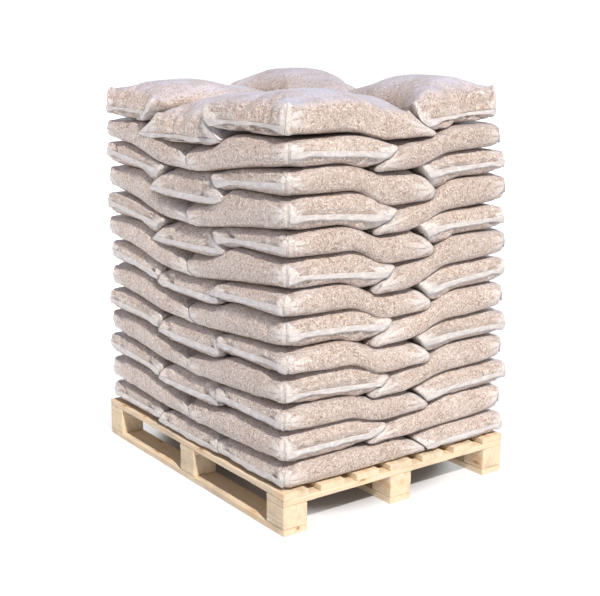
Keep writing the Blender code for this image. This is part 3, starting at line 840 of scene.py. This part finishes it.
def seal_strip(points, end, outward, width, rng):
    """The welded strip outside a seal: a thin closed ribbon that starts inside the bag and folds down.

    It follows the bag's lower sheet for the strip's width but bridges its folds, at a gap that grows from
    the seal to the free edge, and both the gap and the width waver slowly along it.
    """
    rows = np.arange(STRIP_ROWS) if end == 0 else -1 - np.arange(STRIP_ROWS)
    lower = min((UPPER_SHEET, LOWER_SHEET), key=lambda sheet: points[sheet[rows[4]], 2].mean())
    sheet = points[lower[rows]][:, 1:-1]
    away = outward[1:-1] / np.linalg.norm(outward[1:-1], axis=1)[:, None]
    count = sheet.shape[1]
    at = np.linspace(0, 1, count)
    phase = rng.uniform(0, 2 * np.pi, 6)
    turns = 2 * np.pi * at
    gap_wave = 1 + 0.5 * np.sin(1.7 * turns + phase[0]) + 0.4 * np.sin(5.0 * turns + phase[1])
    width_wave = 1 + 0.06 * np.sin(1.3 * turns + phase[2]) + 0.05 * np.sin(4.0 * turns + phase[3])
    reach = np.array((0.0, 0.15, 0.40, 0.70, 1.0))
    run = np.concatenate(((0,), np.cumsum(np.linalg.norm(np.diff(sheet, axis=0), axis=2).mean(axis=1))))
    row = np.interp(width * reach[:, None] * width_wave, run, np.arange(STRIP_ROWS))
    whole = np.minimum(row.astype(int), STRIP_ROWS - 2)
    part = (row - whole)[..., None]
    column = np.arange(count)[None]
    touching = sheet[whole, column] * (1 - part) + sheet[whole + 1, column] * part
    middle = evened(touching, 4)
    facing = np.cross(np.gradient(middle, axis=0), np.gradient(middle, axis=1))
    facing /= np.linalg.norm(facing, axis=2)[..., None]
    facing *= np.sign((facing[..., :2] * away).sum(axis=2).mean() - 0.3 * facing[..., 2].mean())
    proud = np.clip(((touching - middle) * facing).sum(axis=2), 0, 0.008)
    proud = np.maximum(proud, np.maximum(np.roll(proud, 1, axis=1), np.roll(proud, -1, axis=1)))
    gap = 0.0010 + width * 0.14 * reach[:, None] ** 1.5 * gap_wave + np.clip(evened(proud, 2), 0, 0.008)
    middle = middle + facing * gap[..., None]
    start = middle[:1].copy()
    start[..., :2] -= away * 0.15 * width
    middle, facing = np.concatenate((start, middle)), np.concatenate((facing[:1], facing))
    half = STRIP_HALF * facing
    ring = np.concatenate((middle + half, (middle - half)[::-1])).transpose(1, 0, 2)
    around = ring.shape[1]
    index = np.arange(count * around).reshape(count, around)
    closed = np.column_stack((index, index[:, 0]))
    caps = []
    for edge, flip in ((index[0], False), (index[-1], True)):
        upper, under = edge[:around // 2], edge[around // 2:][::-1]
        cap = np.stack((upper[:-1], upper[1:], under[1:], under[:-1]), -1)
        caps.append(cap[:, ::-1] if flip else cap)
    faces = np.vstack([grid_faces(closed)] + caps)
    over = np.concatenate(((-0.15,), reach)) * width
    measure = np.stack((at[:, None].repeat(around, 1) * FILM_WIDTH,
                        np.concatenate((over, over[::-1]))[None].repeat(count, 0)), -1)
    return ring.reshape(-1, 3), outward_faces(ring.reshape(-1, 3), faces), measure.reshape(-1, 2)


def outward_faces(points, faces):
    """The faces of a closed shell, turned round if its signed volume says that they point inwards."""
    corner = points[faces] - points.mean(axis=0)
    twice_area = np.cross(corner[:, 1], corner[:, 2]) + np.cross(corner[:, 2], corner[:, 3])
    volume = (corner[:, 0] * twice_area).sum()
    return faces if volume > 0 else faces[:, ::-1]


def corner_creases():
    """For each point of a bag: angle and distance from its nearest corner, and how white the film is there,
    partly milky film and partly a painted highlight for the glints on its creases.
    """
    from_seal = (1 - np.abs(POINT_ALONG)) * FILM_LENGTH / 2
    from_fold = (1 - np.abs(POINT_ACROSS)) * FILM_WIDTH / 2
    distance = np.hypot(from_seal, from_fold)
    milk_and_glint = 1.15 * near(distance, 0.075) + 0.30 * near(from_seal, 0.035) + 0.06
    return np.column_stack((np.arctan2(from_seal, from_fold), distance, milk_and_glint))


CREASES = corner_creases()


def run_lengths(points, sheet):
    """How far each point of a sheet is from its middle column, along its row, and from its middle row."""
    place = points[sheet]
    found = []
    for axis in (1, 0):
        step = np.linalg.norm(np.diff(place, axis=axis), axis=2)
        pad = [(0, 0), (0, 0)]
        pad[axis] = (1, 0)
        run = np.cumsum(np.pad(step, pad), axis=axis)
        found.append(run - np.take(run, [run.shape[axis] // 2], axis=axis))
    return found


def film_measure(points):
    """Metres over the film for each corner of a face: u round the tube and v along it.

    The upper sheet is measured from its middle, and the lower one goes on round each fold from it, so that
    the two meet only under the bag's middle, where nothing shows.
    """
    middle = BAG_COLUMNS // 2
    u_upper, v_upper = run_lengths(points, UPPER_SHEET)
    u_lower, v_lower = run_lengths(points, LOWER_SHEET)
    right = u_upper[:, -1:] + u_lower[:, -1:] - u_lower
    left = u_upper[:, :1] + u_lower[:, :1] - u_lower
    cells = grid_faces(UPPER_SHEET)
    upper = np.stack((u_upper.ravel()[cells], v_upper.ravel()[cells]), -1)
    on_right = (np.arange(len(cells)) % (BAG_COLUMNS - 1) >= middle)[:, None]
    turned = cells[:, ::-1]
    lower_u = np.where(on_right, right.ravel()[turned], left.ravel()[turned])
    return np.vstack((upper, np.stack((lower_u, v_lower.ravel()[turned]), -1)))


# How strong the painted reflection of the sky is on the layers below the top.
SHADED_SKY_SHEEN = 0.3


def make_bag(layer, place, rng):
    """One bag: its film, a welded strip at each seal that shows, and what its material reads.

    That is the measure of the film, its creases, how far it faces up, which sets a painted reflection of the
    sky, and the bag's own tone.
    """
    name, *_, lengthwise = place
    top, free, sealed_axis = layer == LAYERS - 1, free_sides(layer, place), int(lengthwise)
    points = lay_bag(layer, place, rng)
    sheets = np.vstack((grid_faces(UPPER_SHEET), grid_faces(LOWER_SHEET, flip=True)))
    faces, measure = outward_faces(points, sheets), film_measure(points) + rng.uniform(0, 9, 2)
    if faces is not sheets:
        measure = measure[:, ::-1]
    parts, face_sets, measures, creases = [points], [faces], [measure], [CREASES]
    count = len(points)
    for row, inner in ((0, 3), (-1, -4)):
        seal = points[UPPER_SHEET[row]]
        back = (points[UPPER_SHEET[inner]] + points[LOWER_SHEET[inner]])[:, :2] / 2
        way = seal[:, :2] - back
        main = way.mean(axis=0) / np.linalg.norm(way.mean(axis=0))
        if not free[sealed_axis, 1 if main[sealed_axis] > 0 else -1]:
            continue
        outward = way / np.linalg.norm(way, axis=1)[:, None] + 1.5 * main
        width = rng.uniform(*STRIP_WIDTHS)
        strip, strip_faces, strip_measure = seal_strip(points, row, outward, width, rng)
        parts.append(strip)
        face_sets.append(strip_faces + count)
        measures.append(strip_measure[strip_faces] + rng.uniform(0, 9, 2))
        creases.append(np.zeros((len(strip), 3)))
        count += len(strip)
    bag = solid_mesh(f"bag_{layer + 1:02d}_{name}", np.vstack(parts), face_sets)
    bag.data.materials.append(film_material)
    bag.data.materials.append(seal_material)
    which = np.zeros(len(bag.data.polygons), np.int32)
    which[len(faces):] = 1
    bag.data.polygons.foreach_set("material_index", which)
    film = bag.data.uv_layers.new(name="film")
    film.data.foreach_set("uv", np.concatenate([each.ravel() for each in measures]).astype(np.float32))
    crease = bag.data.attributes.new("crease", "FLOAT_VECTOR", "POINT")
    crease.data.foreach_set("vector", np.vstack(creases).astype(np.float32).ravel())
    # Painted reflection of the sky, as strong as the film faces up there.
    upright = np.empty(count * 3, np.float32)
    bag.data.vertices.foreach_get("normal", upright)
    bloom = bag.data.attributes.new("bloom", "FLOAT", "POINT")
    bloom.data.foreach_set("value", np.clip(upright[2::3], 0, 1) ** 3 * (1.0 if top else SHADED_SKY_SHEEN))
    tone = bag.data.attributes.new("tone", "FLOAT", "POINT")
    tone.data.foreach_set("value", np.full(count, rng.uniform(0.94, 1.06), np.float32))
    if top:
        finer = bag.modifiers.new("finer", "SUBSURF")
        finer.levels = finer.render_levels = 1
    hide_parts(f"sack_layer_{layer + 1:02d}")
    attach(bag, "root")


film_material = pellet_film()
seal_material = sealed_film()
for layer in range(LAYERS):
    for number, place in enumerate(bag_places(layer)):
        make_bag(layer, place, np.random.default_rng(100 * layer + number))


# Studio.
# A pale floor that glows a little except under the pallet, a soft key light from the right, and a sky
# that is white at the horizon and grey above it.

FLOOR_HALF = 60.0
floor = solid_mesh("studio_floor", np.array(((-1, -1, 0), (1, -1, 0), (1, 1, 0), (-1, 1, 0))) * FLOOR_HALF,
                   [np.array(((0, 1, 2, 3),))])
floor_material, floor_shader, floor_wire = new_material("pale floor")
floor_shader.inputs["Base Color"].default_value = (0.46, 0.46, 0.48, 1.0)
floor_shader.inputs["Roughness"].default_value = 0.9
floor_place = floor_wire.node("ShaderNodeTexCoord", {}, output=3)
floor_x, floor_y, _ = floor_place.apart()
share_x, share_y = floor_x / 0.60, floor_y / 0.50
from_middle = share_x.sum("ABSOLUTE", share_x) ** 3 + share_y.sum("ABSOLUTE", share_y) ** 3
# Painted light: the floor glows brighter where the load's cast shadow falls, which washes that shadow out;
# under the pallet it doesn't glow and stays dark.
in_shade = 1.0 - (floor_x + 0.55 * floor_y).between(-1.10, -0.50)
glow = in_shade.blend((0.41, 0.42, 0.43), (0.84, 0.84, 0.85))
glow = from_middle.between(0.55, 1.00).blend((0.0, 0.0, 0.0), glow)
glow.into(floor_shader, "Emission Color")
floor_shader.inputs["Emission Strength"].default_value = 1.0
floor.data.materials.append(floor_material)

scene = bpy.context.scene
scene.view_settings.view_transform = "Standard"
world = bpy.data.worlds.new("pale sky")
world.use_nodes = True
sky_way = Wire(world.node_tree).node("ShaderNodeTexCoord", {}, output=0)
_, _, height_up = sky_way.apart()
sky_colour = height_up.node("ShaderNodeValToRGB", {"stops": (
    (0.00, (1.0, 1.0, 1.0)), (0.09, (1.0, 1.0, 1.0)), (0.16, (0.58, 0.57, 0.63)), (0.32, (0.40, 0.39, 0.44)),
    (0.55, (0.26, 0.255, 0.29)), (1.00, (0.43, 0.455, 0.66)))}, {0: height_up})
backdrop = world.node_tree.nodes["Background"]
sky_colour.into(backdrop, "Color")
backdrop.inputs["Strength"].default_value = 1.02
scene.world = world

key_data = bpy.data.lights.new("key light", "SUN")
key_data.energy = 4.20
key_data.angle = np.radians(2.5)
key_data.color = (1.0, 0.94, 0.86)
key = bpy.data.objects.new("key light", key_data)
key.rotation_euler = Vector((0.87, -0.20, 1.0)).to_track_quat("Z", "Y").to_euler()
bpy.context.collection.objects.link(key)

camera_data = bpy.data.cameras.new("camera")
camera_data.lens = 63.24
camera_data.sensor_width = 36.0
camera = bpy.data.objects.new("camera", camera_data)
camera.location = (3.1293, -2.3348, 1.4831)
yaw, pitch, roll = 2.49967, -0.21950, 0.01115
forward = Vector((np.cos(pitch) * np.cos(yaw), np.cos(pitch) * np.sin(yaw), np.sin(pitch)))
aim = forward.to_track_quat("-Z", "Y").to_matrix()
camera.rotation_euler = (aim @ Matrix.Rotation(roll, 3, "Z")).to_euler()
bpy.context.collection.objects.link(camera)
scene.camera = camera
